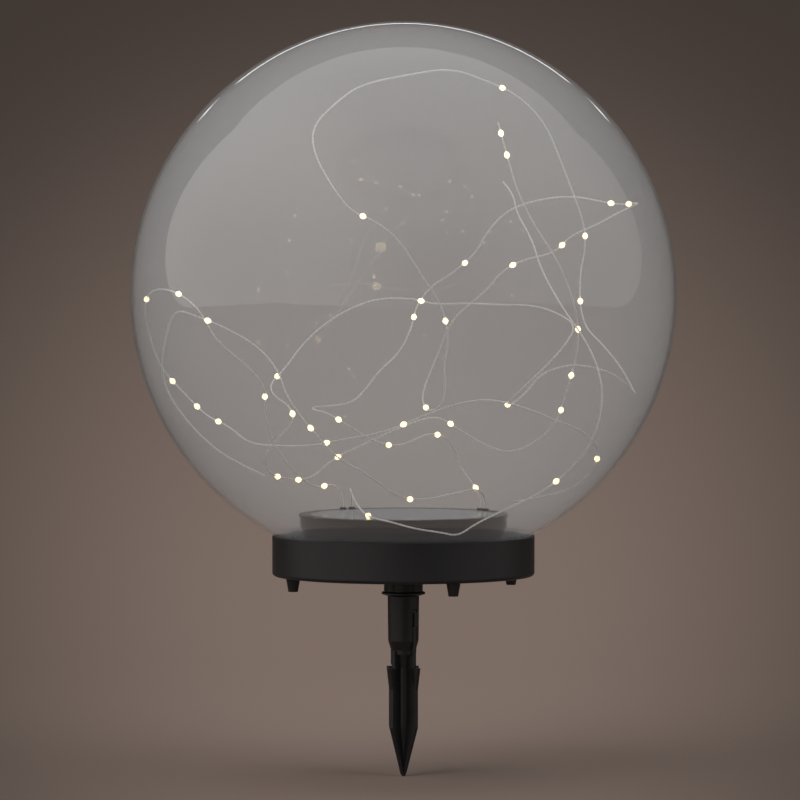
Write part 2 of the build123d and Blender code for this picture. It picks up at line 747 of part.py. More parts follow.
def wire_routes():
    """The four lighting wires, each from its bush in the lid to its free end."""
    lying = {
        "a": [
            (43, 34, 42), (43, 34, 50), (38, 35, 57), (32, 36, 65), (30, 32, 73), (24, 24, 83),
            (13, 13, 85), (-1, 2, 78), (-14, -10, 80), (-30, -20, 90), (-40, -26, 97),
            (-49, -20, 99), (-50, -6, 100), (-40, 6, 100), (-28, 12, 102), (-21, 18, 109),
            (-13, 22, 120), (-2, 30, 129), (5, 38, 144), (7, 46, 155), (15, 48, 166),
            (28, 40, 174), (40, 32, 184), (48, 26, 199), (60, 22, 210), (78, 16, 215),
            (95, 10, 216), (109, 6, 213), (120, 2, 211), (128, -5, 212), (128, -17, 211),
            (118, -25, 207), (104, -28, 199), (91, -28, 194), (82, -25, 184), (66, -20, 181),
            (54, -16, 175), (45, -8, 163), (27, 6, 149), (20, 14, 131), (12, 12, 112),
            (10, 4, 102), (15, -6, 97), (22, -15, 102), (23, -18, 114), (22, -18, 124),
            (25, -22, 137), (21, -29, 156), (11, -36, 170), (-2, -46, 191), (-15, -53, 201),
            (-28, -60, 206), (-38, -62, 219), (-48, -58, 237), (-49, -50, 252), (-35, -42, 266),
            (-23, -34, 275), (1, -18, 281), (26, -2, 286), (45, 10, 280), (63, 20, 273),
            (79, 30, 258), (88, 38, 237), (102, 48, 202), (103, 54, 188), (99, 51, 171),
            (100, 38, 145), (111, 24, 134), (121, 12, 121), (128, 2, 107), (127, -11, 107),
            (117, -22, 117), (105, -27, 122), (90, -31, 124), (74, -35, 119), (65, -36, 107),
            (56, -42, 101), (56, -52, 104), (63, -59, 111), (77, -57, 124), (88, -49, 136),
            (93, -42, 145), (85, -30, 151), (72, -15, 156), (53, 4, 156), (34, 18, 157),
            (18, 24, 156), (3, 26, 160), (-19, 22, 159), (-41, 14, 148), (-56, 5, 134),
            (-65, -6, 121), (-73, -15, 113), (-71, -25, 107), (-61, -32, 101), (-59, -34, 93),
            (-68, -31, 84), (-76, -24, 73), (-74, -12, 64), (-65, 0, 60), (-52, 10, 59),
            (-41, 14, 69), (-32, 17, 74), (-17, 20, 81), (1, 24, 89), (19, 27, 95),
            (34, 33, 84), (56, 37, 72), (72, 36, 77), (86, 29, 90), (90, 20, 106),
            (97, 13, 130), (96, 5, 153), (85, -9, 180), (72, -18, 198), (62, -26, 217),
            (58, -30, 230), (54, -33, 244), (51, -34, 255),
        ],
        "b": [
            (-34, 42, 42), (-34, 42, 50), (-40, 40, 56), (-48, 35, 53), (-56, 28, 58),
            (-66, 18, 69), (-74, 9, 84), (-76, 0, 99), (-76, -10, 112), (-84, -20, 122),
            (-102, -31, 137), (-108, -34, 150), (-116, -32, 159), (-128, -22, 165),
            (-139, -10, 164), (-143, 2, 155), (-142, 12, 141), (-135, 20, 120),
            (-121, 19, 106), (-109, 14, 94), (-96, 6, 89), (-85, -6, 80), (-70, -14, 79),
            (-51, -20, 79), (-33, -27, 83), (-10, -36, 87), (12, -42, 97), (31, -54, 104),
            (48, -62, 106), (66, -62, 101), (82, -52, 94), (97, -36, 88), (107, -24, 78),
            (104, -14, 66), (95, -6, 56), (78, 2, 50), (61, 10, 47),
        ],
        "c": [
            (-29, 46, 42), (-29, 46, 49), (-30, 35, 54), (-28, 18, 49), (-24, -3, 44),
            (-21, -28, 43), (-17, -52, 42), (-8, -63, 41), (6, -64, 37), (20, -62, 35),
            (29, -60, 33), (38, -56, 39), (52, -47, 45), (75, -38, 55), (90, -36, 67),
            (102, -48, 83), (107, -50, 103), (106, -46, 119), (99, -30, 137), (87, 0, 155),
            (76, 16, 176), (72, 28, 192), (63, 38, 208), (62, 42, 218), (56, 44, 225),
        ],
        "d": [
            (46, 30, 42), (46, 30, 49), (41, 19, 54), (28, 2, 52), (11, -12, 49),
            (-3, -24, 51), (-20, -40, 65), (-36, -50, 74), (-47, -54, 87), (-53, -56, 94),
            (-63, -56, 108), (-67, -52, 121), (-78, -46, 134), (-98, -46, 145),
            (-111, -50, 150), (-122, -46, 154), (-127, -40, 144), (-131, -30, 126),
            (-130, -24, 113), (-123, -25, 100), (-109, -30, 84), (-93, -35, 72), (-75, -38, 64),
        ],
    }
    share = clip_circle / bush_circle_drawn
    foot = lid_top_z + grommet_height
    routes = {}
    for name, points in lying.items():
        (x, y, low), (_, _, high), *rest = points
        x, y = x * share, y * share
        routes[name] = [(x, y, foot), (x, y, foot + high - low), *rest]
    return routes


def light_wire(name):
    """One lighting wire: a square thread along its route."""
    section = RegularPolygon(wire_diameter / 2, wire_sides)
    solid, length, least = tube_along(wire_routes()[name], section, 3 * wire_diameter)
    area = section.area
    print("light wire", name, "length", round(length, 1), "smallest bend", round(least, 1),
          "volume", round(solid.volume, 1), "section x length", round(area * length, 1))
    return solid


def beaded_runs():
    """The runs of each wire that carry a lamp bead, counted from the lid."""
    return {
        "a": [1, 5, 7, 9, 18, 21, 27, 28, 33, 35, 41, 46, 50, 59, 63, 65, 76, 86, 91, 94, 98,
              99, 101, 105, 109, 110, 111, 116, 117],
        "b": [2, 7, 12, 14, 17, 18, 19, 23, 25, 32],
        "c": [5, 13],
        "d": [4, 8, 13],
    }


def light_beads():
    """Clear drops with the lamps in them, each round the middle of its run of wire."""
    beads = []
    for name, runs in beaded_runs().items():
        route = [Vector(*p) for p in wire_routes()[name]]
        for i in runs:
            along = route[i + 1] - route[i]
            middle = (route[i + 1] + route[i]) * 0.5
            across = Plane(origin=middle - along.normalized() * (bead_length / 2), z_dir=along)
            bead = extrude(across * RegularPolygon(bead_diameter / 2, bead_sides), bead_length)
            beads += bead.solids()
    return Compound(beads)


# ---------------------------------------------------------------- build
def main():
    pieces = {
        "globe_shell": globe_shell(),
        "base_housing": base_housing(),
        "bottom_cover": bottom_cover(),
        "battery_door": battery_door(),
        "cell": cell(),
        "plate_contact": plate_contact(),
        "leaf_contact": leaf_contact(),
        "circuit_board": circuit_board(),
        "board_parts": board_parts(),
        "board_screws": board_screws(),
        "switch_body": switch_body(),
        "switch_slider": switch_slider(),
        "seal_ring": seal_ring(),
        "solar_turret": solar_turret(),
        "turret_lid": turret_lid(),
        "panel_cover": panel_cover(),
        "solar_panel": solar_panel(),
        "wire_grommets": wire_grommets(),
        "cover_screws": cover_screws(),
        "turret_screws": turret_screws(),
        "leads": leads(),
        "stake_tube": stake_tube(),
        "ground_spike": ground_spike(),
        "light_wire_a": light_wire("a"),
        "light_wire_b": light_wire("b"),
        "light_wire_c": light_wire("c"),
        "light_wire_d": light_wire("d"),
        "light_beads": light_beads(),
    }
    os.makedirs("parts", exist_ok=True)
    for name, piece in pieces.items():
        export_step(piece, os.path.join("parts", name + ".step"))
        print(name, "solids", len(piece.solids()), "volume", round(piece.volume, 1))


main()
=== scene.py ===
import math

import bmesh
import bpy
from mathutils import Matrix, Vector


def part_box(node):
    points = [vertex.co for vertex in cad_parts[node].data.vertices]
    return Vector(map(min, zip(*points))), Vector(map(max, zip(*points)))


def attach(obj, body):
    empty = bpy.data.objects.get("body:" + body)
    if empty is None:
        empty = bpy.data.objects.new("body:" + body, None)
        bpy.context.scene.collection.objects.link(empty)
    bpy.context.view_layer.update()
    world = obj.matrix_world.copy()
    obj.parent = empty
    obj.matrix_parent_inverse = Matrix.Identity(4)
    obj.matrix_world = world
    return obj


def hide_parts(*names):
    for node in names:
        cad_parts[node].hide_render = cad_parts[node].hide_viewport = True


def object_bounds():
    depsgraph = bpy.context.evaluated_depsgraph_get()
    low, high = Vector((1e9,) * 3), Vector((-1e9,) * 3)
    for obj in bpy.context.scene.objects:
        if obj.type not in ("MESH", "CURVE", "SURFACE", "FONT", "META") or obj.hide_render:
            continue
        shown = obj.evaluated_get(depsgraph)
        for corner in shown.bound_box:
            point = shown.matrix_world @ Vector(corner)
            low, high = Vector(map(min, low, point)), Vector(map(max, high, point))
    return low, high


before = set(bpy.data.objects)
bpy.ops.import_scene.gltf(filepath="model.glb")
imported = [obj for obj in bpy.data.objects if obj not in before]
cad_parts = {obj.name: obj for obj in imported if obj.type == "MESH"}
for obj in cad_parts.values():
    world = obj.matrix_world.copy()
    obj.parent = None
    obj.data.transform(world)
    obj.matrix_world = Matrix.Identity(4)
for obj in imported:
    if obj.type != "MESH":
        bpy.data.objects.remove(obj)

bl_info = {
    "name": "Solar garden globe light",
    "version": (1, 0, 0),
    "blender": (4, 5, 0),
    "location": "3D View > Sidebar > Globe light",
    "description": "Dresses the solar globe light: globe, black base, lighting wires and stake",
    "category": "Object",
}

CAD_BOX = [list(corner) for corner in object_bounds()]
MM = 0.001

# ---------------------------------------------------------------- fixed sizes
# The globe's neck and bayonet lugs; angles in degrees.
NECK_RADIUS = 66.0 * MM
NECK_EDGE = 0.3 * MM
GLOBE_ARC_STEPS = 110
LUG_COUNT = 4
LUG_CENTRE = 69.0
LUG_SPREAD = 12.0
LUG_STEPS = 6
LUG_LIFT = 1.0 * MM
# A lug's section in millimetres: out from the neck's wall, and up from the lug's foot.
LUG_SECTION = ((-0.2, 0.0), (1.88, 0.15), (1.88, 2.2), (-0.2, 2.35))

# The lighting wires and their lamps. A lamp's chip stands just out of its drop's middle.
ROUTE_ORDER = 3
ROUTE_STEPS = 10
STRAND_SIDES = 5
DROP_FACES = (12, 8)
CHIP_FACES = (8, 6)
CHIP_LENGTH_SHARE = 0.5
CHIP_WIDTH_SHARE = 1.04
DROP_GLOW = 2.6
CHIP_GLOW = 9.0

# The solar panel's silver lines: fine fingers one way, busbars the other.
FINGER_PITCH = 2.2 * MM
FINGER_WIDTH = 0.22 * MM
BUSBAR_PITCH = 16.5 * MM
BUSBAR_WIDTH = 0.9 * MM

# Depths of the surfaces' grain.
MOULD_DEPTH = 0.012 * MM
FINE_DEPTH = 0.004 * MM

# Floor and backdrop in metres, along y from the stake's axis and up from the spike's tip.
FLOOR_FRONT = -3.2
BEND_START = 0.6
BEND_RADIUS = 2.4
BEND_STEPS = 40
WALL_TOP = 4.6
SWEEP_HALF_WIDTH = 4.5
# Painted shade: the paint darkens away from this place in the frame, between two distances, in
# place of the light falling off towards the frame's edges.
PAINTED_SHADE_CENTRE = (0.5, 0.3, 0.0)
PAINTED_SHADE_START = 0.12
PAINTED_SHADE_END = 0.85
PAINTED_SHADE_SHARE = 0.3

# Lamps: name, place, size and power in watts. Soft boxes light without a mirror image.
LAMP_AIM = (0.0, 0.0, 0.12)
SOFT_BOXES = (
    ("key", (-1.5, -1.4, 1.7), (1.3, 1.3), 26.0),
    ("fill", (1.7, -1.1, 1.2), (1.2, 1.6), 15.0),
    ("top", (0.1, 0.4, 2.2), (1.6, 1.2), 18.0),
)
# Cards are only mirrored: bright edges on the globe and a glare on the panel's cover.
MIRROR_CARDS = (
    ("left_edge", (-0.95, 2.75, 0.3), (0.3, 1.7), 4.5),
    ("right_edge", (0.95, 2.75, 0.3), (0.3, 1.7), 4.5),
    ("top_edge", (0.0, 2.75, 1.2), (1.7, 0.2), 2.2),
    ("cover_glare", (0.0, 2.4, 0.27), (0.9, 0.16), 4.0),
)
ROOM_LEVEL = 0.18
ROOM_COLOUR = "efece8"
BEYOND_COLOUR = "4d4340"
# The room's glows: direction, cosines where each starts and is full, and strength.
ROOM_GLOWS = (
    ((-0.95, -0.3, 0.1), 0.1, 0.97, 0.9),
    ((0.97, -0.2, 0.1), 0.5, 0.99, 0.5),
    ((0.0, 0.0, 1.0), 0.1, 0.97, 0.6),
)

# The camera: sensor and focal length in millimetres, and degrees down from level.
CAMERA_SENSOR = 36.0
CAMERA_FOCAL = 180.0
CAMERA_NEAR = 0.05
CAMERA_SIDE = -1.87 * MM
CAMERA_PITCH = 1.492


# ---------------------------------------------------------------- sizes and colours
class GLOBELIGHT_PG_globe(bpy.types.PropertyGroup):
    """The clear globe."""

    wall: bpy.props.FloatProperty(
        name="Wall", description="Thickness of the blown wall", default=1.6 * MM, unit="LENGTH"
    )
    segments: bpy.props.IntProperty(
        name="Segments", description="Facets round the globe", default=192, min=24, max=512
    )
    tint: bpy.props.StringProperty(
        name="Tint", description="Colour of the clear plastic, sRGB hex", default="f4f5f6"
    )
    haze: bpy.props.FloatProperty(
        name="Haze", description="Share of light that each face scatters", default=0.1,
        min=0.0, max=1.0, subtype="FACTOR",
    )


class GLOBELIGHT_PG_wire(bpy.types.PropertyGroup):
    """The lighting wires: two fine enamelled strands twisted together."""

    strand: bpy.props.FloatProperty(
        name="Strand", description="Radius of one strand", default=0.27 * MM, unit="LENGTH"
    )
    pitch: bpy.props.FloatProperty(
        name="Pitch", description="Length of one full twist", default=5.0 * MM, unit="LENGTH"
    )
    step: bpy.props.FloatProperty(
        name="Step", description="Spacing of the points along a strand",
        default=0.7 * MM, unit="LENGTH",
    )
    bead_length: bpy.props.FloatProperty(
        name="Drop length", description="Length of a lamp's resin drop",
        default=3.9 * MM, unit="LENGTH",
    )
    bead_width: bpy.props.FloatProperty(
        name="Drop width", description="Width of a lamp's resin drop",
        default=3.0 * MM, unit="LENGTH",
    )
    metal: bpy.props.StringProperty(
        name="Wire colour", description="Silver enamel on copper, sRGB hex", default="fbf8f1"
    )
    glow: bpy.props.StringProperty(
        name="Lamp colour", description="Warm white of the lit lamps, sRGB hex", default="ffe2a6"
    )


class GLOBELIGHT_PG_body(bpy.types.PropertyGroup):
    """The moulded base, turret and stake."""

    black: bpy.props.StringProperty(
        name="Base colour", description="Black moulded plastic, sRGB hex", default="0f0f11"
    )
    stake_black: bpy.props.StringProperty(
        name="Stake colour", description="Black of the tube and spike, sRGB hex", default="0a0a0b"
    )
    # The real spark-eroded grain is finer; it is drawn this coarse so that it shows.
    grain: bpy.props.FloatProperty(
        name="Grain", description="Size of the spark-eroded mould texture",
        default=0.5 * MM, unit="LENGTH",
    )


class GLOBELIGHT_PG_stage(bpy.types.PropertyGroup):
    """Floor, backdrop, lamps and camera."""

    backdrop: bpy.props.StringProperty(
        name="Backdrop", description="Dim warm grey of floor and backdrop, sRGB hex",
        default="74665f",
    )
    distance: bpy.props.FloatProperty(
        name="Camera distance", description="From the camera to the stake's axis",
        default=2.2, unit="LENGTH",
    )
    height: bpy.props.FloatProperty(
        name="Camera height", description="Above the ground level", default=0.161, unit="LENGTH"
    )


# ---------------------------------------------------------------- colours, nodes and finishes
def colour(hex_value):
    """An sRGB hex value as a linear colour."""
    parts = [int(hex_value[i:i + 2], 16) / 255 for i in (0, 2, 4)]
    linear = [c / 12.92 if c <= 0.04045 else ((c + 0.055) / 1.055) ** 2.4 for c in parts]
    return (*linear, 1.0)


def shaded(hex_value, factor):
    """A hex colour made lighter or darker in linear light."""
    r, g, b, a = colour(hex_value)
    return (min(1, r * factor), min(1, g * factor), min(1, b * factor), a)


def add(tree, kind, settings=None, links=None):
    """One node with its settings: attributes by name, sockets by number or name."""
    node = tree.nodes.new(kind)
    for key, value in (settings or {}).items():
        if isinstance(key, int) or key in node.inputs:
            node.inputs[key].default_value = value
        else:
            setattr(node, key, value)
    for key, source in (links or {}).items():
        tree.links.new(source, node.inputs[key])
    return node


def finish(name):
    """A new material with an empty tree and its output."""
    material = bpy.data.materials.new(name)
    material.use_nodes = True
    tree = material.node_tree
    tree.nodes.clear()
    return material, tree, add(tree, "ShaderNodeOutputMaterial")


def grain_bump(tree, size, depth, strength):
    """A fine moulded or cast grain of a real size, as a bump normal."""
    place = add(tree, "ShaderNodeTexCoord")
    noise = add(
        tree, "ShaderNodeTexNoise", {"Scale": 1.0 / size, "Detail": 2.0, "Roughness": 0.55},
        {"Vector": place.outputs["Object"]},
    )
    return add(
        tree, "ShaderNodeBump", {"Strength": strength, "Distance": depth},
        {"Height": noise.outputs["Fac"]},
    )


def varied(tree, low, high, size):
    """A number that drifts between two values over a real size."""
    place = add(tree, "ShaderNodeTexCoord")
    noise = add(
        tree, "ShaderNodeTexNoise", {"Scale": 1.0 / size, "Detail": 3.0},
        {"Vector": place.outputs["Object"]},
    )
    return add(
        tree, "ShaderNodeMapRange",
        {"From Min": 0.3, "From Max": 0.7, "To Min": low, "To Max": high},
        {"Value": noise.outputs["Fac"]},
    )


def moulded_abs(name, hex_value, roughness, grain):
    """Spark-textured injection-moulded ABS: deep black, satin, with a soft broad highlight."""
    material, tree, out = finish(name)
    bump = grain_bump(tree, grain, MOULD_DEPTH, 0.6)
    rough = varied(tree, roughness - 0.05, roughness + 0.06, 18 * MM)
    wear = varied(tree, 0.0, 1.0, 30 * MM)
    base = add(
        tree, "ShaderNodeMix",
        {"data_type": "RGBA", 6: colour(hex_value), 7: shaded(hex_value, 1.25)},
        {0: wear.outputs["Result"]},
    )
    shader = add(
        tree, "ShaderNodeBsdfPrincipled", {"IOR": 1.54, "Specular IOR Level": 0.5},
        {
            "Base Color": base.outputs[2], "Roughness": rough.outputs["Result"],
            "Normal": bump.outputs["Normal"],
        },
    )
    tree.links.new(shader.outputs[0], out.inputs["Surface"])
    return material


def clear_plastic(name, hex_value, roughness, haze):
    """Clear acrylic: mirrors at the rim, lets lamps through, and greys what it covers."""
    material, tree, out = finish(name)
    shader = add(tree, "ShaderNodeBsdfPrincipled", {
        "Base Color": colour(hex_value), "Roughness": roughness, "IOR": 1.49,
        "Transmission Weight": 1.0 - haze,
    })
    through = add(tree, "ShaderNodeBsdfTransparent", {"Color": colour(hex_value)})
    path = add(tree, "ShaderNodeLightPath")
    mix = add(tree, "ShaderNodeMixShader", None, {
        0: path.outputs["Is Shadow Ray"], 1: shader.outputs[0], 2: through.outputs[0],
    })
    tree.links.new(mix.outputs[0], out.inputs["Surface"])
    return material


def plain_finish(name, hex_value, roughness, metallic=0.0, grain=0.3 * MM):
    """A simple solid finish with a fine grain and a drift of roughness."""
    material, tree, out = finish(name)
    bump = grain_bump(tree, grain, FINE_DEPTH, 0.5)
    rough = varied(tree, max(0.03, roughness - 0.05), roughness + 0.07, 6 * MM)
    shader = add(
        tree, "ShaderNodeBsdfPrincipled",
        {"Base Color": colour(hex_value), "Metallic": metallic},
        {"Roughness": rough.outputs["Result"], "Normal": bump.outputs["Normal"]},
    )
    tree.links.new(shader.outputs[0], out.inputs["Surface"])
    return material


def solar_cells(name):
    """Blue-black silicon cells under clear resin, with fine silver fingers and two busbars."""
    material, tree, out = finish(name)
    place = add(tree, "ShaderNodeTexCoord")
    split = add(tree, "ShaderNodeSeparateXYZ", None, {0: place.outputs["Object"]})

    def stripes(source, pitch, width):
        """One where a line of the given width runs, at every pitch."""
        wave = add(tree, "ShaderNodeMath", {"operation": "DIVIDE", 1: pitch}, {0: source})
        part = add(tree, "ShaderNodeMath", {"operation": "FRACT"}, {0: wave.outputs[0]})
        return add(
            tree, "ShaderNodeMath", {"operation": "LESS_THAN", 1: width / pitch},
            {0: part.outputs[0]},
        ).outputs[0]

    fingers = stripes(split.outputs["X"], FINGER_PITCH, FINGER_WIDTH)
    bars = stripes(split.outputs["Y"], BUSBAR_PITCH, BUSBAR_WIDTH)
    lines = add(tree, "ShaderNodeMath", {"operation": "MAXIMUM"}, {0: fingers, 1: bars})
    drift = varied(tree, 0.0, 1.0, 9 * MM)
    silicon = add(
        tree, "ShaderNodeMix", {"data_type": "RGBA", 6: colour("0b1226"), 7: colour("16223c")},
        {0: drift.outputs["Result"]},
    )
    base = add(
        tree, "ShaderNodeMix", {"data_type": "RGBA", 7: colour("9aa0a6")},
        {0: lines.outputs[0], 6: silicon.outputs[2]},
    )
    shader = add(
        tree, "ShaderNodeBsdfPrincipled",
        {"Roughness": 0.25, "IOR": 1.5, "Coat Weight": 1.0, "Coat Roughness": 0.04},
        {"Base Color": base.outputs[2]},
    )
    tree.links.new(shader.outputs[0], out.inputs["Surface"])
    return material


def glowing(name, hex_value, strength, base_hex):
    """A lit lamp: warm phosphor under clear resin."""
    material, tree, out = finish(name)
    shader = add(tree, "ShaderNodeBsdfPrincipled", {
        "Base Color": colour(base_hex), "Roughness": 0.12, "IOR": 1.5,
        "Emission Color": colour(hex_value), "Emission Strength": strength,
    })
    tree.links.new(shader.outputs[0], out.inputs["Surface"])
    return material


# Plain finishes: the nodes that wear each, its name, colour, roughness and metallic share.
PLAIN_FINISHES = (
    # Moulded acetal: a dull dark knob in a slightly glossier black case.
    (("switch_slider",), "slider_plastic", "1b1b1d", 0.4, 0.0),
    (("switch_body",), "switch_plastic", "151517", 0.35, 0.0),
    # Moulded rubber: soft greys with no clear highlight.
    (("seal_ring",), "seal_rubber", "2a2a2b", 0.6, 0.0),
    (("wire_grommets",), "bush_rubber", "1d1d1e", 0.55, 0.0),
    # Shrunk PVC sleeve: pale green with a smooth sheen.
    (("cell",), "cell_sleeve", "6f9a76", 0.3, 0.0),
    # Solder resist on glass fibre board: deep green, half gloss.
    (("circuit_board",), "solder_resist", "1f6a3a", 0.35, 0.0),
    # Moulded epoxy cases: matt black.
    (("board_parts",), "moulded_component", "18181a", 0.45, 0.0),
    # Extruded PVC insulation: dull red.
    (("leads",), "lead_sleeve", "8e2018", 0.45, 0.0),
    # Nickel-plated spring steel: bright, with sharp reflections.
    (("plate_contact", "leaf_contact"), "plated_contact", "b9bab9", 0.25, 1.0),
    # Zinc-plated steel: a bluish grey shine.
    (
        ("cover_screws", "turret_screws", "board_screws"),
        "zinc_plated_screw", "a9abad", 0.3, 1.0,
    ),
)


# ---------------------------------------------------------------- geometry helpers
def linked(name, data):
    """A new object at the origin, in the scene."""
    obj = bpy.data.objects.new(name, data)
    bpy.context.scene.collection.objects.link(obj)
    return obj


def shade(mesh, smooth):
    """Sets every face smooth or flat."""
    for polygon in mesh.polygons:
        polygon.use_smooth = smooth


def keep(obj, body, material):
    """A finished piece: rides on its body and wears its material."""
    obj.data.materials.clear()
    obj.data.materials.append(material)
    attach(obj, body)


def dress(node, material):
    """Gives a CAD node its material on every slot."""
    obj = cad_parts[node]
    if not obj.material_slots:
        obj.data.materials.append(material)
    for own in obj.material_slots:
        own.material = material


def new_mesh(name, verts, faces, smooth=True):
    """An object from points and faces."""
    mesh = bpy.data.meshes.new(name)
    mesh.from_pydata(verts, [], faces)
    mesh.update()
    shade(mesh, smooth)
    return linked(name, mesh)


def lathe(name, profile, segments):
    """A closed turned shape from (radius, height) points in metres, facing outwards."""
    on_axis, merged = 1e-6, 1e-7
    bm = bmesh.new()
    rings = []
    for r, z in profile:
        if r < on_axis:
            rings.append([bm.verts.new((0, 0, z))])
            continue
        rings.append([
            bm.verts.new((r * math.cos(a), r * math.sin(a), z))
            for a in (2 * math.pi * i / segments for i in range(segments))
        ])
    for low, high in zip(rings, rings[1:] + rings[:1]):
        for i in range(segments):
            j = (i + 1) % segments
            if len(low) == 1 and len(high) == 1:
                break
            if len(low) == 1:
                bm.faces.new((low[0], high[j], high[i]))
            elif len(high) == 1:
                bm.faces.new((low[i], low[j], high[0]))
            else:
                bm.faces.new((low[i], low[j], high[j], high[i]))
    bmesh.ops.remove_doubles(bm, verts=bm.verts, dist=merged)
    bmesh.ops.recalc_face_normals(bm, faces=bm.faces)
    mesh = bpy.data.meshes.new(name)
    bm.to_mesh(mesh)
    bm.free()
    shade(mesh, True)
    return linked(name, mesh)


def arc(centre_z, radius, start, end, steps):
    """(radius, height) points of an arc about the axis; angles in degrees up from the equator."""
    return [
        (radius * math.cos(math.radians(a)), centre_z + radius * math.sin(math.radians(a)))
        for a in (start + (end - start) * i / steps for i in range(steps + 1))
    ]


# ---------------------------------------------------------------- the lighting wires' routes
# Points in millimetres from each wire's bush in the lid; the runs that carry a lamp follow.
WIRE_ROUTES = {
    "a": [
        (43, 34, 42), (43, 34, 50), (38, 35, 57), (32, 36, 65), (30, 32, 73), (24, 24, 83),
        (13, 13, 85), (-1, 2, 78), (-14, -10, 80), (-30, -20, 90), (-40, -26, 97),
        (-49, -20, 99), (-50, -6, 100), (-40, 6, 100), (-28, 12, 102), (-21, 18, 109),
        (-13, 22, 120), (-2, 30, 129), (5, 38, 144), (7, 46, 155), (15, 48, 166),
        (28, 40, 174), (40, 32, 184), (48, 26, 199), (60, 22, 210), (78, 16, 215),
        (95, 10, 216), (109, 6, 213), (120, 2, 211), (128, -5, 212), (128, -17, 211),
        (118, -25, 207), (104, -28, 199), (91, -28, 194), (82, -25, 184), (66, -20, 181),
        (54, -16, 175), (45, -8, 163), (27, 6, 149), (20, 14, 131), (12, 12, 112),
        (10, 4, 102), (15, -6, 97), (22, -15, 102), (23, -18, 114), (22, -18, 124),
        (25, -22, 137), (21, -29, 156), (11, -36, 170), (-2, -46, 191), (-15, -53, 201),
        (-28, -60, 206), (-38, -62, 219), (-48, -58, 237), (-49, -50, 252), (-35, -42, 266),
        (-23, -34, 275), (1, -18, 281), (26, -2, 286), (45, 10, 280), (63, 20, 273),
        (79, 30, 258), (88, 38, 237), (102, 48, 202), (103, 54, 188), (99, 51, 171),
        (100, 38, 145), (111, 24, 134), (121, 12, 121), (128, 2, 107), (127, -11, 107),
        (117, -22, 117), (105, -27, 122), (90, -31, 124), (74, -35, 119), (65, -36, 107),
        (56, -42, 101), (56, -52, 104), (63, -59, 111), (77, -57, 124), (88, -49, 136),
        (93, -42, 145), (85, -30, 151), (72, -15, 156), (53, 4, 156), (34, 18, 157),
        (18, 24, 156), (3, 26, 160), (-19, 22, 159), (-41, 14, 148), (-56, 5, 134),
        (-65, -6, 121), (-73, -15, 113), (-71, -25, 107), (-61, -32, 101), (-59, -34, 93),
        (-68, -31, 84), (-76, -24, 73), (-74, -12, 64), (-65, 0, 60), (-52, 10, 59),
        (-41, 14, 69), (-32, 17, 74), (-17, 20, 81), (1, 24, 89), (19, 27, 95),
        (34, 33, 84), (56, 37, 72), (72, 36, 77), (86, 29, 90), (90, 20, 106),
        (97, 13, 130), (96, 5, 153), (85, -9, 180), (72, -18, 198), (62, -26, 217),
        (58, -30, 230), (54, -33, 244), (51, -34, 255),
    ],
    "b": [
        (-34, 42, 42), (-34, 42, 50), (-40, 40, 56), (-48, 35, 53), (-56, 28, 58),
        (-66, 18, 69), (-74, 9, 84), (-76, 0, 99), (-76, -10, 112), (-84, -20, 122),
        (-102, -31, 137), (-108, -34, 150), (-116, -32, 159), (-128, -22, 165),
        (-139, -10, 164), (-143, 2, 155), (-142, 12, 141), (-135, 20, 120),
        (-121, 19, 106), (-109, 14, 94), (-96, 6, 89), (-85, -6, 80), (-70, -14, 79),
        (-51, -20, 79), (-33, -27, 83), (-10, -36, 87), (12, -42, 97), (31, -54, 104),
        (48, -62, 106), (66, -62, 101), (82, -52, 94), (97, -36, 88), (107, -24, 78),
        (104, -14, 66), (95, -6, 56), (78, 2, 50), (61, 10, 47),
    ],
    "c": [
        (-29, 46, 42), (-29, 46, 49), (-30, 35, 54), (-28, 18, 49), (-24, -3, 44),
        (-21, -28, 43), (-17, -52, 42), (-8, -63, 41), (6, -64, 37), (20, -62, 35),
        (29, -60, 33), (38, -56, 39), (52, -47, 45), (75, -38, 55), (90, -36, 67),
        (102, -48, 83), (107, -50, 103), (106, -46, 119), (99, -30, 137), (87, 0, 155),
        (76, 16, 176), (72, 28, 192), (63, 38, 208), (62, 42, 218), (56, 44, 225),
    ],
    "d": [
        (46, 30, 42), (46, 30, 49), (41, 19, 54), (28, 2, 52), (11, -12, 49),
        (-3, -24, 51), (-20, -40, 65), (-36, -50, 74), (-47, -54, 87), (-53, -56, 94),
        (-63, -56, 108), (-67, -52, 121), (-78, -46, 134), (-98, -46, 145),
        (-111, -50, 150), (-122, -46, 154), (-127, -40, 144), (-131, -30, 126),
        (-130, -24, 113), (-123, -25, 100), (-109, -30, 84), (-93, -35, 72), (-75, -38, 64),
    ],
}
LAMP_RUNS = {
    "a": [1, 5, 7, 9, 18, 21, 27, 28, 33, 35, 41, 46, 50, 59, 63, 65, 76, 86, 91, 94, 98,
          99, 101, 105, 109, 110, 111, 116, 117],
    "b": [2, 7, 12, 14, 17, 18, 19, 23, 25, 32],
    "c": [5, 13],
    "d": [4, 8, 13],
}


def route_points(name):
    """The wire's whole route in metres, from the top of its bush."""
    return [Vector(place) * MM for place in WIRE_ROUTES[name]]


def route_spline(name):
    """The wire's smooth line: one NURBS spline with the route's points as control points."""
    curve = bpy.data.curves.new("route_" + name, "CURVE")
    curve.dimensions = "3D"
    spline = curve.splines.new("NURBS")
    route = route_points(name)
    spline.points.add(len(route) - 1)
    for point, place in zip(spline.points, route):
        point.co = (*place, 1.0)
    spline.order_u = ROUTE_ORDER
    spline.use_endpoint_u = True
    spline.resolution_u = ROUTE_STEPS
    obj = linked("route_" + name, curve)
    bpy.context.view_layer.update()
    return obj


def evaluated_mesh(obj):
    """The mesh that an object comes to once its modifiers have run."""
    graph = bpy.context.evaluated_depsgraph_get()
    return bpy.data.meshes.new_from_object(obj.evaluated_get(graph))


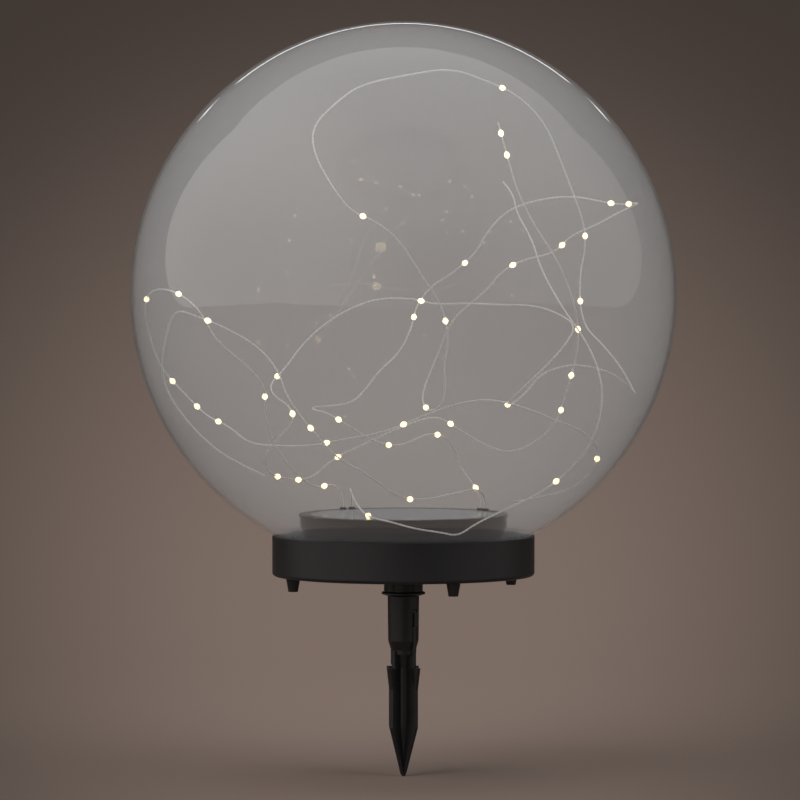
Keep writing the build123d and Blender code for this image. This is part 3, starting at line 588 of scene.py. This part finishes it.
def followed(route):
    """The points that a route's spline follows."""
    mesh = evaluated_mesh(route)
    points = [v.co.copy() for v in mesh.vertices]
    bpy.data.meshes.remove(mesh)
    return points


def plain_result(obj, name):
    """The evaluated object as a plain mesh object; the one with the modifier goes."""
    bpy.context.view_layer.update()
    mesh = evaluated_mesh(obj)
    result = linked(name, mesh)
    bpy.data.objects.remove(obj)
    shade(mesh, True)
    return result


# ---------------------------------------------------------------- Geometry Nodes trees
def new_tree(name, inputs, output):
    """A tree with named inputs and one output, and its input node."""
    group = bpy.data.node_groups.new(name, "GeometryNodeTree")
    for label, kind in inputs:
        group.interface.new_socket(label, in_out="INPUT", socket_type="NodeSocket" + kind)
    group.interface.new_socket(output, in_out="OUTPUT", socket_type="NodeSocketGeometry")
    return group, add(group, "NodeGroupInput")


def end_tree(group, geometry, material):
    """Ends a tree in real geometry that wears its material."""
    real = add(group, "GeometryNodeRealizeInstances", None, {0: geometry})
    dressed = add(
        group, "GeometryNodeSetMaterial", None,
        {"Geometry": real.outputs[0], "Material": material},
    )
    add(group, "NodeGroupOutput", None, {0: dressed.outputs[0]})


def run_tree(obj, group, values):
    """Puts the tree on the object and sets its inputs by their identifiers."""
    modifier = obj.modifiers.new(group.name, "NODES")
    modifier.node_group = group
    for item in group.interface.items_tree:
        if item.in_out == "INPUT" and item.name in values:
            modifier[item.identifier] = values[item.name]


def twist_tree():
    """Two strands wound round the curve that the tree is given."""
    group, given = new_tree("twisted_pair", (
        ("Route", "Geometry"), ("Strand radius", "Float"), ("Pitch", "Float"),
        ("Step", "Float"), ("Metal", "Material"),
    ), "Wire")
    even = add(
        group, "GeometryNodeResampleCurve", {"mode": "LENGTH"},
        {"Curve": given.outputs["Route"], "Length": given.outputs["Step"]},
    )
    along = add(group, "GeometryNodeSplineParameter")
    turns = add(
        group, "ShaderNodeMath", {"operation": "DIVIDE"},
        {0: along.outputs["Length"], 1: given.outputs["Pitch"]},
    )
    angle = add(
        group, "ShaderNodeMath", {"operation": "MULTIPLY", 1: 2 * math.pi}, {0: turns.outputs[0]}
    )
    tangent = add(group, "GeometryNodeInputTangent")
    normal = add(group, "GeometryNodeInputNormal")
    across = add(
        group, "ShaderNodeVectorMath", {"operation": "CROSS_PRODUCT"},
        {0: tangent.outputs[0], 1: normal.outputs[0]},
    )
    outline = add(
        group, "GeometryNodeCurvePrimitiveCircle", {"Resolution": STRAND_SIDES},
        {"Radius": given.outputs["Strand radius"]},
    )
    join = add(group, "GeometryNodeJoinGeometry")
    for side in (0.0, math.pi):
        phase = add(group, "ShaderNodeMath", {"operation": "ADD", 1: side}, {0: angle.outputs[0]})
        parts = []
        for turn, direction in (("COSINE", normal), ("SINE", across)):
            share = add(group, "ShaderNodeMath", {"operation": turn}, {0: phase.outputs[0]})
            reach = add(
                group, "ShaderNodeMath", {"operation": "MULTIPLY"},
                {0: share.outputs[0], 1: given.outputs["Strand radius"]},
            )
            parts.append(add(
                group, "ShaderNodeVectorMath", {"operation": "SCALE"},
                {0: direction.outputs[0], "Scale": reach.outputs[0]},
            ))
        offset = add(
            group, "ShaderNodeVectorMath", {"operation": "ADD"},
            {0: parts[0].outputs[0], 1: parts[1].outputs[0]},
        )
        moved = add(
            group, "GeometryNodeSetPosition", None,
            {"Geometry": even.outputs[0], "Offset": offset.outputs[0]},
        )
        strand = add(
            group, "GeometryNodeCurveToMesh", {"Fill Caps": True},
            {"Curve": moved.outputs[0], "Profile Curve": outline.outputs[0]},
        )
        group.links.new(strand.outputs[0], join.inputs[0])
    end_tree(group, join.outputs[0], given.outputs["Metal"])
    return group


def lamp_tree(name, round_faces, long_faces):
    """A small turned shape on every point, along the point's own direction."""
    group, given = new_tree(name, (
        ("Places", "Geometry"), ("Length", "Float"), ("Width", "Float"), ("Finish", "Material"),
    ), "Lamps")
    drop = add(
        group, "GeometryNodeMeshUVSphere",
        {"Segments": round_faces, "Rings": long_faces, "Radius": 0.5},
    )
    size = add(
        group, "ShaderNodeCombineXYZ", None,
        {"X": given.outputs["Width"], "Y": given.outputs["Width"], "Z": given.outputs["Length"]},
    )
    direction = add(
        group, "GeometryNodeInputNamedAttribute", {"data_type": "FLOAT_VECTOR", "Name": "along"}
    )
    turn = add(
        group, "FunctionNodeAlignRotationToVector", {"axis": "Z"},
        {"Vector": direction.outputs["Attribute"]},
    )
    placed = add(
        group, "GeometryNodeInstanceOnPoints", None,
        {
            "Points": given.outputs["Places"], "Instance": drop.outputs["Mesh"],
            "Rotation": turn.outputs[0], "Scale": size.outputs[0],
        },
    )
    end_tree(group, placed.outputs[0], given.outputs["Finish"])
    return group


# ---------------------------------------------------------------- operators
class GLOBELIGHT_OT_globe(bpy.types.Operator):
    """The blown clear globe with its neck, and its four bayonet lugs"""

    bl_idname = "globelight.globe"
    bl_label = "Clear globe"

    def execute(self, context):
        sizes = context.scene.globelight_globe
        low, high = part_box("globe_shell")
        radius = (high[0] - low[0]) / 2
        centre = high[2] - radius
        globe = lathe("globe", self.profile(radius, centre, low[2], sizes.wall), sizes.segments)
        lugs = self.lugs(low[2] + LUG_LIFT)
        bm = bmesh.new()
        bm.from_mesh(globe.data)
        bm.from_mesh(lugs.data)
        bm.to_mesh(globe.data)
        bm.free()
        bpy.data.objects.remove(lugs)
        acrylic = clear_plastic("blown_acrylic", sizes.tint, 0.012, sizes.haze)
        keep(globe, "globe", acrylic)
        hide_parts("globe_shell")
        return {"FINISHED"}

    def profile(self, radius, centre, bottom, wall):
        """The wall's outline: up the outside to the pole, down the inside, round the lip."""
        inner = radius - wall
        neck_in = NECK_RADIUS - wall
        start = -math.degrees(math.acos(NECK_RADIUS / radius))
        start_in = -math.degrees(math.acos(neck_in / inner))
        outside = arc(centre, radius, start, 90, GLOBE_ARC_STEPS)
        outside[-1] = (0.0, centre + radius)
        inside = arc(centre, inner, start_in, 90, GLOBE_ARC_STEPS)
        inside[-1] = (0.0, centre + inner)
        lip = [
            (neck_in, bottom + NECK_EDGE), (neck_in + NECK_EDGE, bottom),
            (NECK_RADIUS - NECK_EDGE, bottom), (NECK_RADIUS, bottom + NECK_EDGE),
        ]
        return outside + inside[::-1] + lip

    def lugs(self, foot):
        """The bayonet lugs, each a short bar bent round the neck."""
        corners = len(LUG_SECTION)
        verts, faces = [], []
        for n in range(LUG_COUNT):
            first = math.radians(LUG_CENTRE + 360 / LUG_COUNT * n - LUG_SPREAD / 2)
            base = len(verts)
            for i in range(LUG_STEPS + 1):
                a = first + math.radians(LUG_SPREAD) * i / LUG_STEPS
                for out, up in LUG_SECTION:
                    r = NECK_RADIUS + out * MM
                    verts.append((r * math.cos(a), r * math.sin(a), foot + up * MM))
            for i in range(LUG_STEPS):
                for k in range(corners):
                    a, b = base + corners * i + k, base + corners * i + (k + 1) % corners
                    faces.append((a, a + corners, b + corners, b))
            faces.append(tuple(base + k for k in range(corners)))
            faces.append(tuple(base + corners * LUG_STEPS + k for k in reversed(range(corners))))
        obj = new_mesh("lugs", verts, faces, smooth=False)
        bm = bmesh.new()
        bm.from_mesh(obj.data)
        bmesh.ops.recalc_face_normals(bm, faces=bm.faces)
        bm.to_mesh(obj.data)
        bm.free()
        return obj


class GLOBELIGHT_OT_wires(bpy.types.Operator):
    """The four twisted lighting wires with their lamps"""

    bl_idname = "globelight.wires"
    bl_label = "Lighting wires and lamps"

    def execute(self, context):
        sizes = context.scene.globelight_wire
        # Silver enamel on drawn copper: pale, with a soft metal sheen.
        metal = plain_finish(
            "silver_enamelled_wire", sizes.metal, 0.3, metallic=0.15, grain=0.2 * MM
        )
        resin = glowing("lit_resin_drop", sizes.glow, DROP_GLOW, "fff0cf")
        chip = glowing("lamp_chip", sizes.glow, CHIP_GLOW, "ffe9bd")
        twist = twist_tree()
        drops = lamp_tree("resin_drops", *DROP_FACES)
        chips = lamp_tree("lamp_chips", *CHIP_FACES)
        for name in WIRE_ROUTES:
            route = route_spline(name)
            points = followed(route)
            run_tree(route, twist, {
                "Strand radius": sizes.strand, "Pitch": sizes.pitch, "Step": sizes.step,
                "Metal": metal,
            })
            wire = plain_result(route, "wire_" + name)
            keep(wire, "base", metal)
            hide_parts("light_wire_" + name)
            places = self.lamp_places(name, points)
            lamps = self.lamps(
                "lamps_" + name, places, drops, sizes.bead_length, sizes.bead_width, resin
            )
            keep(lamps, "base", resin)
            cores = self.lamps(
                "chips_" + name, places, chips, sizes.bead_length * CHIP_LENGTH_SHARE,
                sizes.bead_width * CHIP_WIDTH_SHARE, chip,
            )
            keep(cores, "base", chip)
            if name == "a":
                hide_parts("light_beads")
        return {"FINISHED"}

    def lamp_places(self, name, points):
        """Each lamp's place and direction, on the wire next to the middle of its run."""
        corners = route_points(name)
        places = []
        for i in LAMP_RUNS[name]:
            middle = (corners[i] + corners[i + 1]) / 2
            k = min(range(1, len(points) - 1), key=lambda j: (points[j] - middle).length)
            places.append((points[k], (points[k + 1] - points[k - 1]).normalized()))
        return places

    def lamps(self, name, places, group, length, width, material):
        """One mesh with a turned shape at each lamp's place."""
        mesh = bpy.data.meshes.new(name + "_places")
        mesh.from_pydata([tuple(place) for place, _ in places], [], [])
        along = mesh.attributes.new("along", "FLOAT_VECTOR", "POINT")
        for i, (_, direction) in enumerate(places):
            along.data[i].vector = direction
        obj = linked(name + "_places", mesh)
        run_tree(obj, group, {"Length": length, "Width": width, "Finish": material})
        return plain_result(obj, name)


class GLOBELIGHT_OT_base(bpy.types.Operator):
    """The moulded base, cover, turret and lid, and what they hold"""

    bl_idname = "globelight.base"
    bl_label = "Base and turret"

    def execute(self, context):
        sizes = context.scene.globelight_body
        satin = moulded_abs("moulded_abs_satin", sizes.black, 0.42, sizes.grain)
        gloss = moulded_abs("moulded_abs_gloss", sizes.black, 0.2, sizes.grain)
        for node in ("base_housing", "bottom_cover", "battery_door"):
            dress(node, satin)
        for node in ("solar_turret", "turret_lid"):
            dress(node, gloss)
        dress("panel_cover", clear_plastic("pressed_clear_cover", "e9edf0", 0.24, 0.12))
        dress("solar_panel", solar_cells("silicon_cells"))
        for nodes, name, hex_value, roughness, metallic in PLAIN_FINISHES:
            material = plain_finish(name, hex_value, roughness, metallic)
            for node in nodes:
                dress(node, material)
        return {"FINISHED"}


class GLOBELIGHT_OT_stake(bpy.types.Operator):
    """The stake tube and the ground spike"""

    bl_idname = "globelight.stake"
    bl_label = "Stake"

    def execute(self, context):
        sizes = context.scene.globelight_body
        satin = moulded_abs("stake_plastic", sizes.stake_black, 0.38, sizes.grain)
        dress("stake_tube", satin)
        dress("ground_spike", satin)
        return {"FINISHED"}


class GLOBELIGHT_OT_stage(bpy.types.Operator):
    """Floor and backdrop in one sweep, soft lamps and the camera"""

    bl_idname = "globelight.stage"
    bl_label = "Stage, lamps and camera"

    def execute(self, context):
        sizes = context.scene.globelight_stage
        sweep = self.sweep(CAD_BOX[0][2])
        sweep.data.materials.append(self.paint(sizes.backdrop))
        for name, place, size, power in SOFT_BOXES:
            self.lamp(name, place, size, power, mirrored=False)
        for name, place, size, power in MIRROR_CARDS:
            self.lamp(name, place, size, power, mirrored=True)
        context.scene.world = self.room()
        context.scene.camera = self.camera(sizes.distance, sizes.height)
        context.scene.view_settings.view_transform = "Standard"
        return {"FINISHED"}

    def sweep(self, ground):
        """The floor, bent up at the back into the backdrop."""
        profile = [(FLOOR_FRONT, 0.0), (BEND_START, 0.0)]
        for i in range(1, BEND_STEPS + 1):
            a = math.pi / 2 * i / BEND_STEPS
            profile.append((
                BEND_START + BEND_RADIUS * math.sin(a), BEND_RADIUS * (1 - math.cos(a))
            ))
        profile.append((BEND_START + BEND_RADIUS, WALL_TOP))
        verts = [
            (x, y, ground + z) for x in (-SWEEP_HALF_WIDTH, SWEEP_HALF_WIDTH) for y, z in profile
        ]
        count = len(profile)
        faces = [(i, count + i, count + i + 1, i + 1) for i in range(count - 1)]
        return new_mesh("backdrop", verts, faces)

    def paint(self, hex_value):
        """Matt paint with painted shade, darker towards the edges of the frame."""
        material, tree, out = finish("painted_backdrop")
        view = add(tree, "ShaderNodeTexCoord")
        away = add(
            tree, "ShaderNodeVectorMath", {"operation": "DISTANCE", 1: PAINTED_SHADE_CENTRE},
            {0: view.outputs["Window"]},
        )
        # Painted shade: the backdrop's colour is mixed towards a darker copy away from the frame's
        # middle.
        painted_shade = add(
            tree, "ShaderNodeMapRange",
            {"interpolation_type": "SMOOTHSTEP", "From Min": PAINTED_SHADE_START, "From Max": PAINTED_SHADE_END},
            {"Value": away.outputs["Value"]},
        )
        paint_with_shade = add(
            tree, "ShaderNodeMix",
            {"data_type": "RGBA", 6: colour(hex_value), 7: shaded(hex_value, PAINTED_SHADE_SHARE)},
            {0: painted_shade.outputs["Result"]},
        )
        shader = add(
            tree, "ShaderNodeBsdfPrincipled", {"Roughness": 0.9, "Specular IOR Level": 0.1},
            {"Base Color": paint_with_shade.outputs[2]},
        )
        tree.links.new(shader.outputs[0], out.inputs["Surface"])
        return material

    def lamp(self, name, place, size, power, mirrored):
        """A soft box that lights without a mirror image, or a card that is only mirrored."""
        light = bpy.data.lights.new(name, "AREA")
        light.shape = "RECTANGLE"
        light.size, light.size_y = size
        light.energy = power
        obj = linked(name, light)
        obj.location = place
        obj.visible_camera = obj.visible_transmission = False
        obj.visible_glossy = mirrored
        obj.visible_diffuse = not mirrored
        aim = Vector(LAMP_AIM) - Vector(place)
        obj.rotation_euler = aim.to_track_quat("-Z", "Y").to_euler()

    def room(self):
        """A dim room, lighter to the left, the right and overhead; dark where it shows itself."""
        world = bpy.data.worlds.new("soft_room")
        world.use_nodes = True
        tree = world.node_tree
        tree.nodes.clear()
        place = add(tree, "ShaderNodeTexCoord")
        level = add(tree, "ShaderNodeValue")
        level.outputs[0].default_value = ROOM_LEVEL
        total = level.outputs[0]
        for direction, start, full, amount in ROOM_GLOWS:
            towards = add(
                tree, "ShaderNodeVectorMath", {"operation": "DOT_PRODUCT", 1: direction},
                {0: place.outputs["Generated"]},
            )
            glow = add(
                tree, "ShaderNodeMapRange",
                {
                    "interpolation_type": "SMOOTHERSTEP", "From Min": start, "From Max": full,
                    "To Min": 0.0, "To Max": amount,
                },
                {"Value": towards.outputs["Value"]},
            )
            total = add(
                tree, "ShaderNodeMath", {"operation": "ADD"}, {0: total, 1: glow.outputs["Result"]}
            ).outputs[0]
        sky = add(
            tree, "ShaderNodeBackground", {"Color": colour(ROOM_COLOUR)}, {"Strength": total}
        )
        beyond = add(tree, "ShaderNodeBackground", {"Color": colour(BEYOND_COLOUR)})
        path = add(tree, "ShaderNodeLightPath")
        seen = add(tree, "ShaderNodeMath", {"operation": "MAXIMUM"}, {
            0: path.outputs["Is Camera Ray"], 1: path.outputs["Is Transmission Ray"],
        })
        mix = add(tree, "ShaderNodeMixShader", None, {
            0: seen.outputs[0], 1: sky.outputs[0], 2: beyond.outputs[0],
        })
        add(tree, "ShaderNodeOutputWorld", None, {"Surface": mix.outputs[0]})
        return world

    def camera(self, distance, height):
        """The camera in front of the light, looking slightly down."""
        camera = bpy.data.cameras.new("camera")
        camera.sensor_width = CAMERA_SENSOR
        camera.lens = CAMERA_FOCAL
        camera.clip_start = CAMERA_NEAR
        eye = linked("camera", camera)
        eye.location = (CAMERA_SIDE, -distance, height)
        eye.rotation_euler = (math.radians(90 - CAMERA_PITCH), 0, 0)
        return eye


class GLOBELIGHT_PT_panel(bpy.types.Panel):
    """Lists the light's pieces"""

    bl_label = "Globe light"
    bl_idname = "GLOBELIGHT_PT_panel"
    bl_space_type = "VIEW_3D"
    bl_region_type = "UI"
    bl_category = "Globe light"

    def draw(self, context):
        for operator in OPERATORS:
            self.layout.operator(operator.bl_idname)
        for name in SETTINGS:
            box = self.layout.box()
            settings = getattr(context.scene, name)
            for prop in settings.bl_rna.properties:
                if prop.identifier not in ("rna_type", "name"):
                    box.prop(settings, prop.identifier)


OPERATORS = (
    GLOBELIGHT_OT_base,
    GLOBELIGHT_OT_stake,
    GLOBELIGHT_OT_globe,
    GLOBELIGHT_OT_wires,
    GLOBELIGHT_OT_stage,
)
SETTINGS = {
    "globelight_globe": GLOBELIGHT_PG_globe,
    "globelight_wire": GLOBELIGHT_PG_wire,
    "globelight_body": GLOBELIGHT_PG_body,
    "globelight_stage": GLOBELIGHT_PG_stage,
}


def register():
    for name, group in SETTINGS.items():
        bpy.utils.register_class(group)
        setattr(bpy.types.Scene, name, bpy.props.PointerProperty(type=group))
    for cls in (*OPERATORS, GLOBELIGHT_PT_panel):
        bpy.utils.register_class(cls)


def unregister():
    for cls in (GLOBELIGHT_PT_panel, *reversed(OPERATORS)):
        bpy.utils.unregister_class(cls)
    for name, group in SETTINGS.items():
        delattr(bpy.types.Scene, name)
        bpy.utils.unregister_class(group)


def main():
    register()
    bpy.ops.globelight.base()
    bpy.ops.globelight.stake()
    bpy.ops.globelight.globe()
    bpy.ops.globelight.wires()
    bpy.ops.globelight.stage()
    bpy.context.view_layer.update()


if __name__ == "__main__":
    main()
